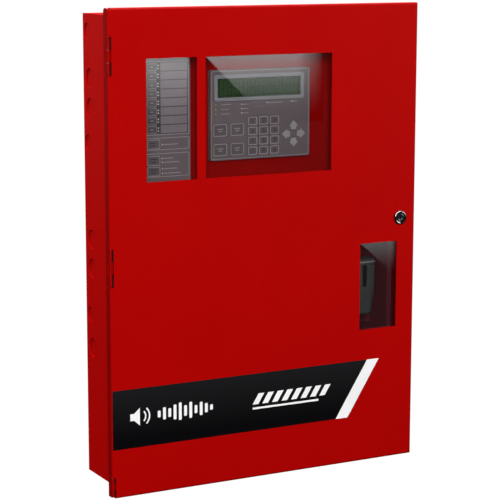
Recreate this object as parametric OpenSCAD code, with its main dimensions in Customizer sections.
// Wall cabinet for fire alarm and voice evacuation controls.
// +Z up, the front faces -Y, and the origin is the centre of the box's back face, on the wall.
// Inside face_frame(), x runs right from the door's left edge, y runs back from the door's
// outer face, and z runs up from the door's bottom edge.

/* [Cabinet] */
// Width of the door
door_w = 505; // [495:1:515]
// Height of the door
door_h = 694; // [690:1:720]
// Depth of the door's folded edge
door_skirt = 10.5; // [9:0.5:12]
// Depth of the back box
box_d = 80; // [78:1:110]
// How far the door reaches past the box on the left and right
side_lap = 4; // [3:0.5:6]
// How far the door reaches above the box
top_lap = 10; // [8:0.5:12]
// How far the door reaches below the box
bottom_lap = 20; // [18:0.5:22]
// Thickness of the painted steel sheet
sheet_t = 1.5; // [1.2:0.1:1.6]

/* [Windows] */
// Left edge of the switch window
switch_win_x = 59; // [55:1:62]
// Width of the switch window
switch_win_w = 78.5; // [70:0.5:80]
// Left edge of the display window
display_win_x = 151; // [151:0.5:156]
// Width of the display window
display_win_w = 206.5; // [190:0.1:210]
// Bottom edge of the two upper windows
upper_win_z = 451.5; // [448:0.5:456]
// Height of the two upper windows
upper_win_h = 172.3; // [165:0.1:176]
// Left edge of the microphone window
mic_win_x = 409.5; // [406:0.5:412]
// Bottom edge of the microphone window
mic_win_z = 204.8; // [200:0.1:210]
// Width of the microphone window
mic_win_w = 64.5; // [60:0.5:68]
// Height of the microphone window
mic_win_h = 132; // [120:1:134]
// Thickness of the clear panes
pane_t = 3; // [2:0.5:4]

/* [Hinges and lock] */
// Outer diameter of the hinge barrels
barrel_d = 5; // [4.6:0.1:5.2]
// Diameter of the hinge pins
pin_d = 2.4; // [2:0.1:2.8]
// Height of the upper and middle hinges
hinge_h = 54; // [40:1:60]
// Height of the lock above the door's bottom edge
lock_z = 372; // [370:1:400]
// Distance from the door's right edge to the lock's centre
lock_inset = 25.8; // [25.5:0.1:28]
// Diameter of the lock's rim
lock_rim_d = 21.6; // [20:0.1:24]

/* [Inside] */
// Depth of the inner panel's front behind the door's face
panel_y = 36; // [35:0.5:40]
// How far the two control modules stand out of the inner panel
module_rise = 7; // [6:0.5:8]
// How far each key moves when it is pressed
key_travel = 0.8; // [0.4:0.1:1]
// How far a key stands out of its bezel
key_proud = 1.2; // [1:0.1:1.6]

/* [Wall and conduit] */
// Spacing of the wall holes from side to side
wall_hole_dx = 406.4; // [380:0.1:420]
// Spacing of the wall holes from bottom to top
wall_hole_dz = 558.8; // [540:0.1:580]
// Diameter of the wall holes
wall_hole_d = 7.1; // [5:0.1:8]
// Diameter of a knockout for half inch conduit
knockout_small_d = 22.2; // [22:0.1:22.6]
// Diameter of a knockout for three quarter inch conduit
knockout_large_d = 28.2; // [27.8:0.1:28.6]

/* [Hidden] */
$fn = 48;
eps = 0.01;

// Cabinet
swing_gap = 0.8;
box_y = door_skirt + swing_gap;
depth = box_y + box_d;
box_w = door_w - 2 * side_lap;
box_h = door_h - top_lap - bottom_lap;
mid_x = door_w / 2;
mid_z = bottom_lap + box_h / 2;
flange_w = 11.5;
bend_r = 2;
end_bend_r = 3.5;
nick = [1.5, 1.2, 2.2];
nick_w = 5;
label_t = 0.3;

// Hinges: each is [lowest z, height], and the lowest one starts at the door's bottom edge
axis_in = barrel_d / 2 + 0.2;
notch_w = 7;
leaf_t = 1.2;
leaf_gap = 0.5;
tab_in = 2.1;
tab_root = 1.5;
plate_w = 18;
hinge_z = [[0, 31], [306.3, hinge_h], [601.5, hinge_h]];
leaf_floor = 2.5;

// Lock
lock_x = door_w - lock_inset;
plug_r = 6.2;
body_r = 9.5;
running = 0.05;
cam_y = box_y + sheet_t + 0.5;
cam_t = 2;
tail_w = 7;

cam_size = [12, 16];
nut_r = 13.8;
nut_t = 4;
keyway = [1.4, 9, 7.2];

// Inner panel, its brackets and its screws
panel_w = 470;
panel_h = 634;
bracket_z = [90, 410, 620];
bracket_h = 30;
bracket_d = 24;
bracket_reach = 22;
screw_in = 5;
screw_r = 1.65;
screw_head_r = 4;
screw_head_t = 2.6;
screw_length = 8;

// Window panes and the clips that hold them, window by window. A pane's laps are how far it
// reaches past its window on the left, on the right, and at the top and bottom.
pane_laps = [[10, 6.4, 10], [6.4, 10, 10], [10, 9, 10]];
clip_xs = [[75, 120], [180, 256, 330], [425, 456]];
clip_w = 12;
clip_t = 1.2;
clip_over = 7;
clip_end = 5;
clip_foot = 3;
stud_r = 1.5;
stud_l = 8;
stud_out = 6;
stud_nut_r = 3.2;
stud_nut_t = 2.4;

// Control modules: bezel front, bezel thickness and circuit board depth
bezel_y = panel_y - module_rise;
bezel_t = 2;
bezel_r = 3;
board_y = bezel_y + 10;
board_t = 1.6;
switch_top_y = board_y - 1.4;
switch_side = 6;
rim_wall = 2;
frame_wall = 1;
frame_gap = 0.3;
cut_in = 2.4;
key_r = 1.2;
key_gap = 0.25;
key_lip = 0.5;
key_lip_t = 0.9;
stem_r = 2.4;
led_r = 1.1;
led_proud = 0.4;

// Display module
disp_c = [254.8, 537];
disp_size = [163.6, 130.2];
lcd_c = [252.4, 576.1];
lcd_size = [137, 27.6];
lcd_frame = [148.5, 36.6];
lcd_rise = 1.4;
number_c0 = [241, 526.9];
number_pitch = [18.2, 14.5];
number_size = [15.4, 12.6];
function_c0 = [188.3, 515.6];
function_pitch = [27.6, 28.3];
function_size = [22.4, 18.2];
arrow_c = [309.4, 505.2];
arrow_names = ["right", "up", "left", "down"];
arrow_stem_out = 9.8;
display_led = [
    for (z = [552.5, 545.4, 538.9]) [181.7, z],
    for (z = [551.8, 545.5, 539.2]) [223.7, z],
    [265.8, 552.6], [306.8, 553]];

// Switch module
sw_c = [101.5, 536];
sw_size = [79, 180];
zone_count = 8;
zone_pitch = 12.6;
zone_top = 609.7;
zone_key = [15.5, 10.5];
zone_key_x = 80.2;
zone_led_x = 90.7;
strip_x = 115.2;
strip_size = [41.4, 11.1];
strip_t = 0.5;
control_z = [500.8, 477.5, 462.2];
control_key = [20.5, 14];
control_key_x = 82.7;
control_led_x = 96.8;
control_led_z = [499.8, 480.2, 474.6, 465.2, 458.8];
switch_led = concat(
    [for (i = [0:zone_count - 1], s = [-1, 1]) [zone_led_x, zone_top - i * zone_pitch + s * 2.05]],
    [for (z = control_led_z) [control_led_x, z]]);

// Microphone and the bay it hangs in
bay_x = mic_win_x + mic_win_w / 2;
mic_x = bay_x + 2.4;
mic_low = 216;
mic_shoulder = 262;
mic_top = 296;
mic_cap_h = 8;
mic_y = 42;
mic_t = 28;
bay_t = 1.2;
bay_lip = 8;
bay_fit = 0.3;
bay_size = [75, 147];
bay_z = mic_win_z + mic_win_h / 2;
bay_back = 84;
mic_low_w = 35;
mic_low_r = 6;
mic_w = 44;
grille_slot = [1.6, 16, 2];
grille_pitch = 4.4;
cord_hole_r = 6;
cord_inlet_r = 3;
hang_z = 285;
neck_r = 4;
neck_l = 4.2;
neck_head_r = 7;
neck_head_t = 3;
hook_gap = 0.3;
hook_t = 2;
hook_w = 26;
hook_h = 22;
talk_size = [7.4, 33];
talk_z = 278;
talk_t = 5;
talk_sunk = 0.8;

// Main circuit board
main_c = [200, 270];
main_size = [260, 300];
main_y = 78;
post_r = 3;
post_in = 8;
block_size = [40, 12, 12];
block_pitch = 48;
block_in = 22;
block_ways = 4;
way_size = 6;
way_pitch = 9;

// Knockouts on each side wall: [height, true when large]
knockouts = [
    [660, false], [594, true], [552, true], [503, false],
    [365, true], [323, true], [255, false], [207, true]];
knockout_back = [2.8, 8.3];
knockout_depth = 2;
knockout_wall = 0.8;
end_knockout_back = 24;
end_knockout_xs = [[-150, true], [-100, false], [100, false], [150, true]];

RED = [0.70, 0.04, 0.03];
GREY = [0.36, 0.34, 0.35];
BLACK = [0.06, 0.07, 0.07];
STEEL = [0.72, 0.73, 0.75];
GREEN = [0.10, 0.32, 0.16];

// Shared shapes

module face_frame() {
    translate([-mid_x, -depth, -mid_z]) children();
}

// An outline in x and z, made t thick from depth y backwards
module plate(y, t) {
    translate([0, y + t, 0]) rotate([90, 0, 0]) linear_extrude(t) children();
}

module rounded(size, r) {
    square([size[0] - 2 * r, size[1]], center = true);
    square([size[0], size[1] - 2 * r], center = true);
    for (sx = [-1, 1], sz = [-1, 1])
        translate([sx * (size[0] / 2 - r), sz * (size[1] / 2 - r)]) circle(r);
}

module rounded_plate(c, size, r, y, t) {
    plate(y, t) translate(c) rounded(size, r);
}

// A rod along y from depth y backwards
module rod(c, r, y, length) {
    plate(y, length) translate(c) circle(r);
}

module ring_wall(c, size, wall, y, t) {
    plate(y, t) translate(c) difference() {
        square(size, center = true);
        square([size[0] - 2 * wall, size[1] - 2 * wall], center = true);
    }
}

// Back box

function panel_screw_points() = [
    for (z = bracket_z, s = [-1, 1]) [mid_x + s * (panel_w / 2 - screw_in), z]];

// Each knockout is a round dish pressed into the wall, drawn along +z from the wall's outer face
module knockout_dish(d)
    translate([0, 0, sheet_t / 2])
        cylinder(d = d + 2 * knockout_wall, h = knockout_depth + knockout_wall - sheet_t / 2);

module knockout_recess(d) translate([0, 0, -1]) cylinder(d = d, h = knockout_depth + 1);

module knockout(d, cut) {
    if (cut) knockout_recess(d);
    else knockout_dish(d);
}

// The left wall's knockouts, from its outer face at x = 0 towards +x
module side_knockouts(cut) for (k = knockouts) {
    d = k[1] ? knockout_large_d : knockout_small_d;
    inset = k[1] ? knockout_back[1] : knockout_back[0];
    translate([0, depth - inset - d / 2, k[0]]) rotate([0, 90, 0]) knockout(d, cut);
}

// The bottom wall's knockouts, from its outer face at z = 0 upwards
module end_knockouts(cut) for (k = end_knockout_xs)
    translate([mid_x + k[0], depth - end_knockout_back, 0])
        knockout(k[1] ? knockout_large_d : knockout_small_d, cut);

module all_knockouts(cut) {
    translate([side_lap, 0, 0]) side_knockouts(cut);
    translate([door_w - side_lap, 0, 0]) mirror([1, 0, 0]) side_knockouts(cut);
    translate([0, 0, bottom_lap]) end_knockouts(cut);
    translate([0, 0, door_h - top_lap]) mirror([0, 0, 1]) end_knockouts(cut);
}

module panel_bracket(x, z, wall_x) {
    translate([x, panel_y + sheet_t, z - bracket_h / 2]) cube([bracket_reach, sheet_t, bracket_h]);
    translate([wall_x, panel_y + sheet_t, z - bracket_h / 2]) cube([sheet_t, bracket_d, bracket_h]);
}

module back_box() color(RED) face_frame() difference() {
    union() {
        difference() {
            translate([side_lap, box_y, bottom_lap]) cube([box_w, box_d, box_h]);
            translate([side_lap + sheet_t, box_y + sheet_t, bottom_lap + sheet_t])
                cube([box_w - 2 * sheet_t, box_d - 2 * sheet_t, box_h - 2 * sheet_t]);
            translate([side_lap + flange_w, box_y - 1, bottom_lap + flange_w])
                cube([box_w - 2 * flange_w, 3, box_h - 2 * flange_w]);
        }
        for (z = bracket_z) {
            panel_bracket(side_lap + sheet_t - eps, z, side_lap + sheet_t - eps);
            panel_bracket(door_w - side_lap - sheet_t - bracket_reach + eps, z,
                          door_w - side_lap - 2 * sheet_t + eps);
        }
        for (sx = [-1, 1], sz = [-1, 1]) translate([
            main_c[0] + sx * (main_size[0] / 2 - post_in), 0,
            main_c[1] + sz * (main_size[1] / 2 - post_in)])
                rod([0, 0], post_r, main_y + board_t, depth - sheet_t - main_y - board_t + eps);
        all_knockouts(false);
    }
    for (sx = [-1, 1], sz = [-1, 1])
        rod([mid_x + sx * wall_hole_dx / 2, mid_z + sz * wall_hole_dz / 2],
            wall_hole_d / 2, depth - 2 * sheet_t, 3 * sheet_t);
    for (p = panel_screw_points()) rod(p, screw_r + 0.05, panel_y, 2 * sheet_t + 1);
    all_knockouts(true);
}

// Hinges

function leaf_low(h) = max(h[0] + leaf_gap, leaf_floor);
function leaf_len(h) = h[0] + h[1] - leaf_gap - leaf_low(h);
function knuckle_z(h, i) = leaf_low(h) + i * leaf_len(h) / 3;
function knuckle_len(h) = leaf_len(h) / 3 - 0.4;

module knuckle(h, i, bore_r) {
    translate([axis_in, axis_in, knuckle_z(h, i) + 0.2]) difference() {
        cylinder(d = barrel_d, h = knuckle_len(h));
        translate([0, 0, -1]) cylinder(r = bore_r, h = knuckle_len(h) + 2);
    }
}

module box_hinge_leaf(h) {
    low = leaf_low(h);
    length = leaf_len(h);
    difference() {
        union() {
            for (i = [0, 2]) translate([axis_in, axis_in, knuckle_z(h, i) + 0.2])
                cylinder(d = barrel_d, h = knuckle_len(h));
            translate([0.3, axis_in, low + 0.2]) cube([leaf_t, box_y - axis_in, length - 0.4]);
            translate([0.3, box_y - leaf_t, low + 0.2]) cube([22, leaf_t, length - 0.4]);
        }
        translate([-1, axis_in - 4, knuckle_z(h, 1) - 0.2])
            cube([8, 4 + barrel_d / 2 + 0.8, knuckle_len(h) + 0.8]);
        translate([axis_in, axis_in, low - 1]) cylinder(d = pin_d + 0.04, h = length + 2);
    }
}

module box_hinge_leaves() color(RED) face_frame() for (h = hinge_z) box_hinge_leaf(h);

// The leaf's tab is stepped back behind the barrel's middle and joins its plate beside the notch
module door_hinge_leaf(h) {
    z = knuckle_z(h, 1) + 0.2;
    root_x = notch_w + 0.5;
    difference() {
        union() {
            translate([axis_in, axis_in, z]) cylinder(d = barrel_d, h = knuckle_len(h));
            translate([axis_in, sheet_t + tab_in, z])
                cube([root_x + tab_root - axis_in, leaf_t, knuckle_len(h)]);
            translate([root_x, sheet_t, z]) cube([tab_root, tab_in + leaf_t, knuckle_len(h)]);
            translate([root_x, sheet_t, leaf_low(h) + 0.2]) cube([plate_w, leaf_t, leaf_len(h) - 0.4]);
        }
        translate([axis_in, axis_in, z - 1]) cylinder(d = pin_d + 0.12, h = knuckle_len(h) + 2);
    }
}

module door_hinge_leaves() color(RED) face_frame() for (h = hinge_z) door_hinge_leaf(h);

module hinge_pins() color(STEEL) face_frame()
    for (h = hinge_z) translate([axis_in, axis_in, leaf_low(h)]) cylinder(d = pin_d, h = leaf_len(h));

// Door

function windows() = [
    [switch_win_x, upper_win_z, switch_win_w, upper_win_h],
    [display_win_x, upper_win_z, display_win_w, upper_win_h],
    [mic_win_x, mic_win_z, mic_win_w, mic_win_h]];

// Each clip's stud: [x, z, direction from the pane to the stud]
function clip_points() = [
    for (i = [0:2], x = clip_xs[i], s = [-1, 1])
        let (w = windows()[i], lap = pane_laps[i][2] + stud_out)
        [x, s > 0 ? w[1] + w[3] + lap : w[1] - lap, s]];

module front_rounded(width, r) {
    translate([r, 0]) square([width - 2 * r, r + eps]);
    translate([0, r]) square([width, door_skirt - r]);
    for (x = [r, width - r]) translate([x, r]) circle(r);
}

module front_rounded_side(height, r) {
    translate([0, r]) square([r + eps, height - 2 * r]);
    translate([r, 0]) square([door_skirt - r, height]);
    for (z = [r, height - r]) translate([r, z]) circle(r);
}

module door_pan() difference() {
    intersection() {
        linear_extrude(door_h) front_rounded(door_w, bend_r);
        rotate([90, 0, 90]) linear_extrude(door_w) front_rounded_side(door_h, end_bend_r);
    }
    translate([sheet_t, sheet_t, sheet_t])
        cube([door_w - 2 * sheet_t, door_skirt, door_h - 2 * sheet_t]);
}

// The skirt's rounded rear corner at the top left
module skirt_corner_cut() {
    r = 5;
    translate([-1, door_skirt - r, door_h - r]) difference() {
        cube([3, r + 1, r + 1]);
        translate([-1, 0, 0]) rotate([0, 90, 0]) cylinder(r = r, h = 5);
    }
}

module door() color(RED) face_frame() difference() {
    union() {
        door_pan();
        for (p = clip_points()) rod([p[0], p[1]], stud_r, sheet_t - eps, stud_l);
    }
    for (w = windows()) translate([w[0], -1, w[1]]) cube([w[2], 4, w[3]]);
    for (h = hinge_z) translate([-1, -1, h[0] - (h[0] == 0 ? 1 : 0)])
        cube([notch_w + 1, door_skirt + 2, h[1] + (h[0] == 0 ? 1 : 0)]);
    rod([lock_x, lock_z], body_r + 0.1, -1, 4);
    translate([nick[0], nick[1], door_h - nick[2]]) cube([nick_w, door_skirt, 2 * nick[2]]);
    skirt_corner_cut();
}

module window_panes() color([0.75, 0.78, 0.80, 0.35]) face_frame() for (i = [0:2]) {
    w = windows()[i];
    lap = pane_laps[i];
    translate([w[0] - lap[0], sheet_t, w[1] - lap[2]])
        cube([w[2] + lap[0] + lap[1], pane_t, w[3] + 2 * lap[2]]);
}

// A stepped clip round its stud, with the pane on the stud's lower side, and its nut
module window_clip() {
    clip_y = sheet_t + pane_t;
    difference() {
        union() {
            translate([-clip_w / 2, clip_y, -stud_out - clip_end])
                cube([clip_w, clip_t, stud_out + clip_end + clip_over]);
            translate([-clip_w / 2, sheet_t, clip_over - clip_foot])
                cube([clip_w, pane_t + eps, clip_foot]);
        }
        rod([0, 0], stud_r + 0.2, 0, clip_y + 2 * clip_t);
    }
    difference() {
        plate(clip_y + clip_t + 0.05, stud_nut_t) circle(r = stud_nut_r, $fn = 6);
        rod([0, 0], stud_r + 0.1, clip_y, stud_nut_t + 4);
    }
}

module window_clips() color(STEEL) face_frame()
    for (p = clip_points()) translate([p[0], 0, p[1]]) rotate([0, p[2] > 0 ? 0 : 180, 0]) window_clip();

// A printed sheet with a slanted right end
module door_label() color(BLACK) face_frame()
    plate(-label_t, label_t) polygon([[2.8, 71.7], [390.2, 71.7], [444.7, 158], [2.8, 158]]);

// Lock

module lock_body() color(STEEL) face_frame() difference() {
    union() {
        rod([lock_x, lock_z], lock_rim_d / 2, -2.6, 2.6);
        rod([lock_x, lock_z], body_r, -eps, cam_y - 0.5 + eps);
    }
    rod([lock_x, lock_z], plug_r + running, -4, cam_y + 8);
}

module lock_nut() color(STEEL) face_frame() difference() {
    plate(sheet_t + 0.1, nut_t) translate([lock_x, lock_z]) circle(r = nut_r, $fn = 6);
    rod([lock_x, lock_z], body_r + 0.1, 0, 12);
}

module lock_plug() color(BLACK) face_frame() difference() {
    union() {
        rod([lock_x, lock_z], plug_r, -2.4, cam_y + 2.1);
        plate(cam_y - 0.4, cam_t + 1.6) translate([lock_x, lock_z]) square(tail_w, center = true);
    }
    translate([lock_x - keyway[0] / 2, -3, lock_z - keyway[2] / 2]) cube(keyway);
}

module lock_cam() color(STEEL) face_frame() plate(cam_y, cam_t) translate([lock_x, lock_z])
    difference() {
        union() {
            circle(7);
            translate([-cam_size[0] / 2, -cam_size[1]]) square(cam_size);
        }
        square(tail_w + 0.2, center = true);
    }

// Inner panel

module inner_panel() color(RED) face_frame() difference() {
    plate(panel_y, sheet_t) translate([mid_x, mid_z]) square([panel_w, panel_h], center = true);
    for (m = [[disp_c, disp_size], [sw_c, sw_size]])
        plate(panel_y - 1, 4) translate(m[0])
            square([m[1][0] - 2 * cut_in, m[1][1] - 2 * cut_in], center = true);
    plate(panel_y - 1, 4) translate([bay_x, bay_z])
        square([for (side = bay_size) side + 2 * (bay_t + bay_fit)], center = true);
    for (p = panel_screw_points()) rod(p, 2.3, panel_y - 1, 4);
}

module panel_screws() color(STEEL) face_frame() for (p = panel_screw_points()) {
    rod(p, screw_head_r, panel_y - screw_head_t, screw_head_t);
    rod(p, screw_r, panel_y - eps, screw_length);
}

// Keys: every key is a cap with lips behind the bezel and a stem that reaches its switch

module key_stem(c)
    rod(c, stem_r, bezel_y + bezel_t, switch_top_y - key_travel - 0.1 - bezel_y - bezel_t);

module key(c, size) {
    rounded_plate(c, size, key_r, bezel_y - key_proud, key_proud + bezel_t + key_lip_t + 0.1);
    rounded_plate(c, [size[0], size[1] + 2 * key_lip], key_r, bezel_y + bezel_t + 0.1, key_lip_t);
    key_stem(c);
}

module arrow_outline() polygon([
    [0, 19.4], [-7.6, 11.4], [-4.4, 11.4], [-4.4, 6.2], [4.4, 6.2], [4.4, 11.4], [7.6, 11.4]]);

// turn is 0 for up and grows anticlockwise, seen from the front
module arrow_turn(turn) translate([arrow_c[0], 0, arrow_c[1]]) rotate([0, -turn, 0]) children();

module arrow_key(turn) color(GREY) face_frame() arrow_turn(turn) {
    plate(bezel_y - key_proud, key_proud + bezel_t + key_lip_t + 0.1) arrow_outline();
    plate(bezel_y + bezel_t + 0.1, key_lip_t) translate([0, 8.4]) square([11, 3.6], center = true);
    key_stem([0, arrow_stem_out]);
}

function number_c(i) = [
    number_c0[0] + (i - 1) % 3 * number_pitch[0],
    number_c0[1] - floor((i - 1) / 3) * number_pitch[1]];
function function_c(i) = [
    function_c0[0] + (i - 1) % 2 * function_pitch[0],
    function_c0[1] - floor((i - 1) / 2) * function_pitch[1]];
function zone_c(i) = [zone_key_x, zone_top - (i - 1) * zone_pitch];
function control_c(i) = [control_key_x, control_z[i - 1]];

module number_key(i) color(GREY) face_frame() key(number_c(i), number_size);
module function_key(i) color(GREY) face_frame() key(function_c(i), function_size);
module zone_key(i) color(GREY) face_frame() key(zone_c(i), zone_key);
module control_key(i) color(GREY) face_frame() key(control_c(i), control_key);

function grown(size) = [size[0] + 2 * key_gap, size[1] + 2 * key_gap];

module key_hole(c, size) rounded_plate(c, grown(size), key_r, bezel_y - 4, bezel_t + 8);

// Module housings: a bezel with a rim that rests on the panel, and a frame that carries the board

function frame_size(size) = [for (side = size) side - 2 * (cut_in + frame_gap)];

module module_housing(c, size) {
    rounded_plate(c, size, bezel_r, bezel_y, bezel_t);
    difference() {
        rounded_plate(c, size, bezel_r, bezel_y + bezel_t - eps, panel_y - bezel_y - bezel_t + eps);
        plate(bezel_y, 20) translate(c)
            square([size[0] - 2 * rim_wall, size[1] - 2 * rim_wall], center = true);
    }
    ring_wall(c, frame_size(size), frame_wall, bezel_y + bezel_t - eps, board_y - bezel_y - bezel_t + eps);
}

// A circuit board with a switch under each key
module module_board(c, size, key_points) {
    plate(board_y, board_t) translate(c) square(frame_size(size), center = true);
    for (p = key_points)
        plate(switch_top_y, board_y - switch_top_y + eps) translate(p)
            square(switch_side, center = true);
}

module display_housing() color(GREY) face_frame() difference() {
    union() {
        module_housing(disp_c, disp_size);
        rounded_plate(lcd_c, lcd_frame, 4, bezel_y - lcd_rise, lcd_rise + eps);
    }
    rounded_plate(lcd_c, lcd_size, 0.8, bezel_y - 3, 8);
    for (i = [1:12]) key_hole(number_c(i), number_size);
    for (i = [1:4]) key_hole(function_c(i), function_size);
    for (t = [0:3]) arrow_turn(90 * t) plate(bezel_y - 4, bezel_t + 8)
        translate([0, 11.6]) scale(1.05) translate([0, -11.6]) arrow_outline();
    for (p = display_led) rod(p, led_r + 0.1, bezel_y - 2, bezel_t + 4);
}

module display_window() color([0.30, 0.42, 0.24]) face_frame()
    rounded_plate(lcd_c, [lcd_size[0] - 0.3, lcd_size[1] - 0.3], 0.7, bezel_y + 0.4, 1.2);

module lcd_module() color(BLACK) face_frame()
    plate(bezel_y + bezel_t + 0.1, board_y - bezel_y - bezel_t - 0.1) translate(lcd_c)
        square([lcd_size[0] + 6, 34], center = true);

function arrow_stem(turn) = arrow_c + arrow_stem_out * [-sin(turn), cos(turn)];

module display_board() color(GREEN) face_frame() module_board(disp_c, disp_size, concat(
    [for (i = [1:12]) number_c(i)], [for (i = [1:4]) function_c(i)],
    [for (t = [0:3]) arrow_stem(90 * t)]));

module switch_housing() color(GREY) face_frame() difference() {
    module_housing(sw_c, sw_size);
    for (i = [1:zone_count]) {
        key_hole(zone_c(i), zone_key);
        plate(bezel_y - 1, 1 + strip_t) translate([strip_x, zone_c(i)[1] + 0.2])
            square([strip_size[0] + 0.2, strip_size[1] + 0.2], center = true);
    }
    for (i = [1:len(control_z)]) key_hole(control_c(i), control_key);
    for (p = switch_led) rod(p, led_r + 0.1, bezel_y - 2, bezel_t + 4);
}

module switch_board() color(GREEN) face_frame() module_board(sw_c, sw_size, concat(
    [for (i = [1:zone_count]) zone_c(i)], [for (i = [1:len(control_z)]) control_c(i)]));

module label_strips() color([0.62, 0.60, 0.63]) face_frame() for (i = [1:zone_count])
    plate(bezel_y + 0.02, strip_t - 0.02) translate([strip_x, zone_c(i)[1] + 0.2])
        square(strip_size, center = true);

module indicator_leds() color([0.9, 0.9, 0.8]) face_frame() for (p = concat(display_led, switch_led))
    rod(p, led_r, bezel_y - led_proud, board_y - bezel_y + led_proud);

// Main board

module main_board() color(GREEN) face_frame()
    plate(main_y, board_t) translate(main_c) square(main_size, center = true);

// Two rows of screw terminals along the board's lower and upper edges
module terminal_blocks() color([0.10, 0.35, 0.20]) face_frame()
    for (s = [-1, 1], i = [-2:2])
        translate([main_c[0] + i * block_pitch, main_y, main_c[1] + s * (main_size[1] / 2 - block_in)])
            difference() {
                translate([-block_size[0] / 2, -block_size[1], -block_size[2] / 2]) cube(block_size);
                for (k = [0:block_ways - 1])
                    translate([(k - (block_ways - 1) / 2) * way_pitch, -block_size[1], 0])
                        cube([way_size, block_size[1], way_size], center = true);
            }

// Microphone bay

// A box let into the panel from the front, with a lip that rests on the panel
module mic_bay() color(RED) face_frame() difference() {
    union() {
        plate(panel_y - bay_t, bay_t) translate([bay_x, bay_z])
            square([for (side = bay_size) side + 2 * bay_lip], center = true);
        plate(panel_y - eps, bay_back - panel_y + eps) translate([bay_x, bay_z])
            square([for (side = bay_size) side + 2 * bay_t], center = true);
    }
    plate(panel_y - 2 * bay_t, bay_back - panel_y + bay_t) translate([bay_x, bay_z])
        square(bay_size, center = true);
    // Hole for the microphone's lead in the bay's floor
    translate([mic_x, 62, bay_z - bay_size[1] / 2 - 4]) cylinder(r = cord_hole_r, h = 8);
}

// A hook plate with an open slot at the top, on two legs
module mic_clip() color(STEEL) face_frame() {
    plate_y = mic_y + mic_t + 1.5;
    legs_y = plate_y + hook_t;
    slot_r = neck_r + hook_gap;
    plate(plate_y, hook_t) translate([mic_x, hang_z]) difference() {
        translate([-hook_w / 2, 9 - hook_h]) square([hook_w, hook_h]);
        circle(slot_r);
        translate([-slot_r, 0]) square([2 * slot_r, hook_h]);
    }
    for (s = [-1, 1])
        translate([mic_x + s * (hook_w - hook_t) / 2 - hook_t / 2, legs_y - eps, hang_z + 9 - hook_h])
            cube([hook_t, bay_back - bay_t - legs_y + eps, hook_h]);
}

// Microphone

module mic_outline() {
    half = mic_w / 2;
    low_half = mic_low_w / 2;
    r = mic_low_r;
    polygon([[-half, mic_top], [half, mic_top], [half, mic_shoulder], [low_half, mic_low + r],
             [low_half - r, mic_low], [r - low_half, mic_low], [-low_half, mic_low + r],
             [-half, mic_shoulder]]);
    for (s = [-1, 1]) translate([s * (low_half - r), mic_low + r]) circle(r);
}

// Side view, in depth and height
module mic_profile() polygon([
    [mic_y, mic_top], [mic_y, mic_shoulder], [mic_y + 3, mic_low], [mic_y + mic_t - 5, mic_low],
    [mic_y + mic_t, mic_shoulder - 10], [mic_y + mic_t, mic_top]]);

module mic_shell() color(BLACK) face_frame() {
    difference() {
        intersection() {
            plate(mic_y, mic_t) translate([mic_x, 0]) mic_outline();
            translate([mic_x - 30, 0, 0]) rotate([90, 0, 90]) linear_extrude(60) mic_profile();
        }
        rounded_plate([mic_x, talk_z], [talk_size[0] + 0.6, talk_size[1] + 0.6], 2, mic_y - 2, talk_t + 5);
        translate([mic_x, mic_y + mic_t / 2, mic_low - 1]) cylinder(r = cord_inlet_r, h = 9);
    }
    rod([mic_x, hang_z], neck_r, mic_y + mic_t - eps, neck_l);
    rod([mic_x, hang_z], neck_head_r, mic_y + mic_t + neck_l - 2 * eps, neck_head_t);
}

module mic_cap() color(BLACK) face_frame()
    translate([mic_x, mic_y + mic_t / 2, mic_top + 0.05]) difference() {
        linear_extrude(mic_cap_h) rounded([mic_w + 0.6, mic_t + 0.6], 6);
        for (i = [-3:3]) translate([i * grille_pitch, 0, mic_cap_h])
            cube([grille_slot[0], grille_slot[1], 2 * grille_slot[2]], center = true);
    }

module mic_talk_button() color([0.14, 0.05, 0.05]) face_frame()
    rounded_plate([mic_x, talk_z], talk_size, 1.8, mic_y + talk_sunk, talk_t);

back_box();
box_hinge_leaves();
hinge_pins();
inner_panel();
panel_screws();
display_housing();
display_window();
lcd_module();
display_board();
switch_housing();
switch_board();
label_strips();
indicator_leds();
main_board();
terminal_blocks();
mic_bay();
mic_clip();
door();
door_hinge_leaves();
window_panes();
window_clips();
door_label();
lock_body();
lock_nut();
lock_plug();
lock_cam();
mic_shell();
mic_cap();
mic_talk_button();
for (i = [1:12]) number_key(i);
for (i = [1:4]) function_key(i);
for (i = [0:3]) arrow_key(90 * i - 90);
for (i = [1:zone_count]) zone_key(i);
for (i = [1:len(control_z)]) control_key(i);
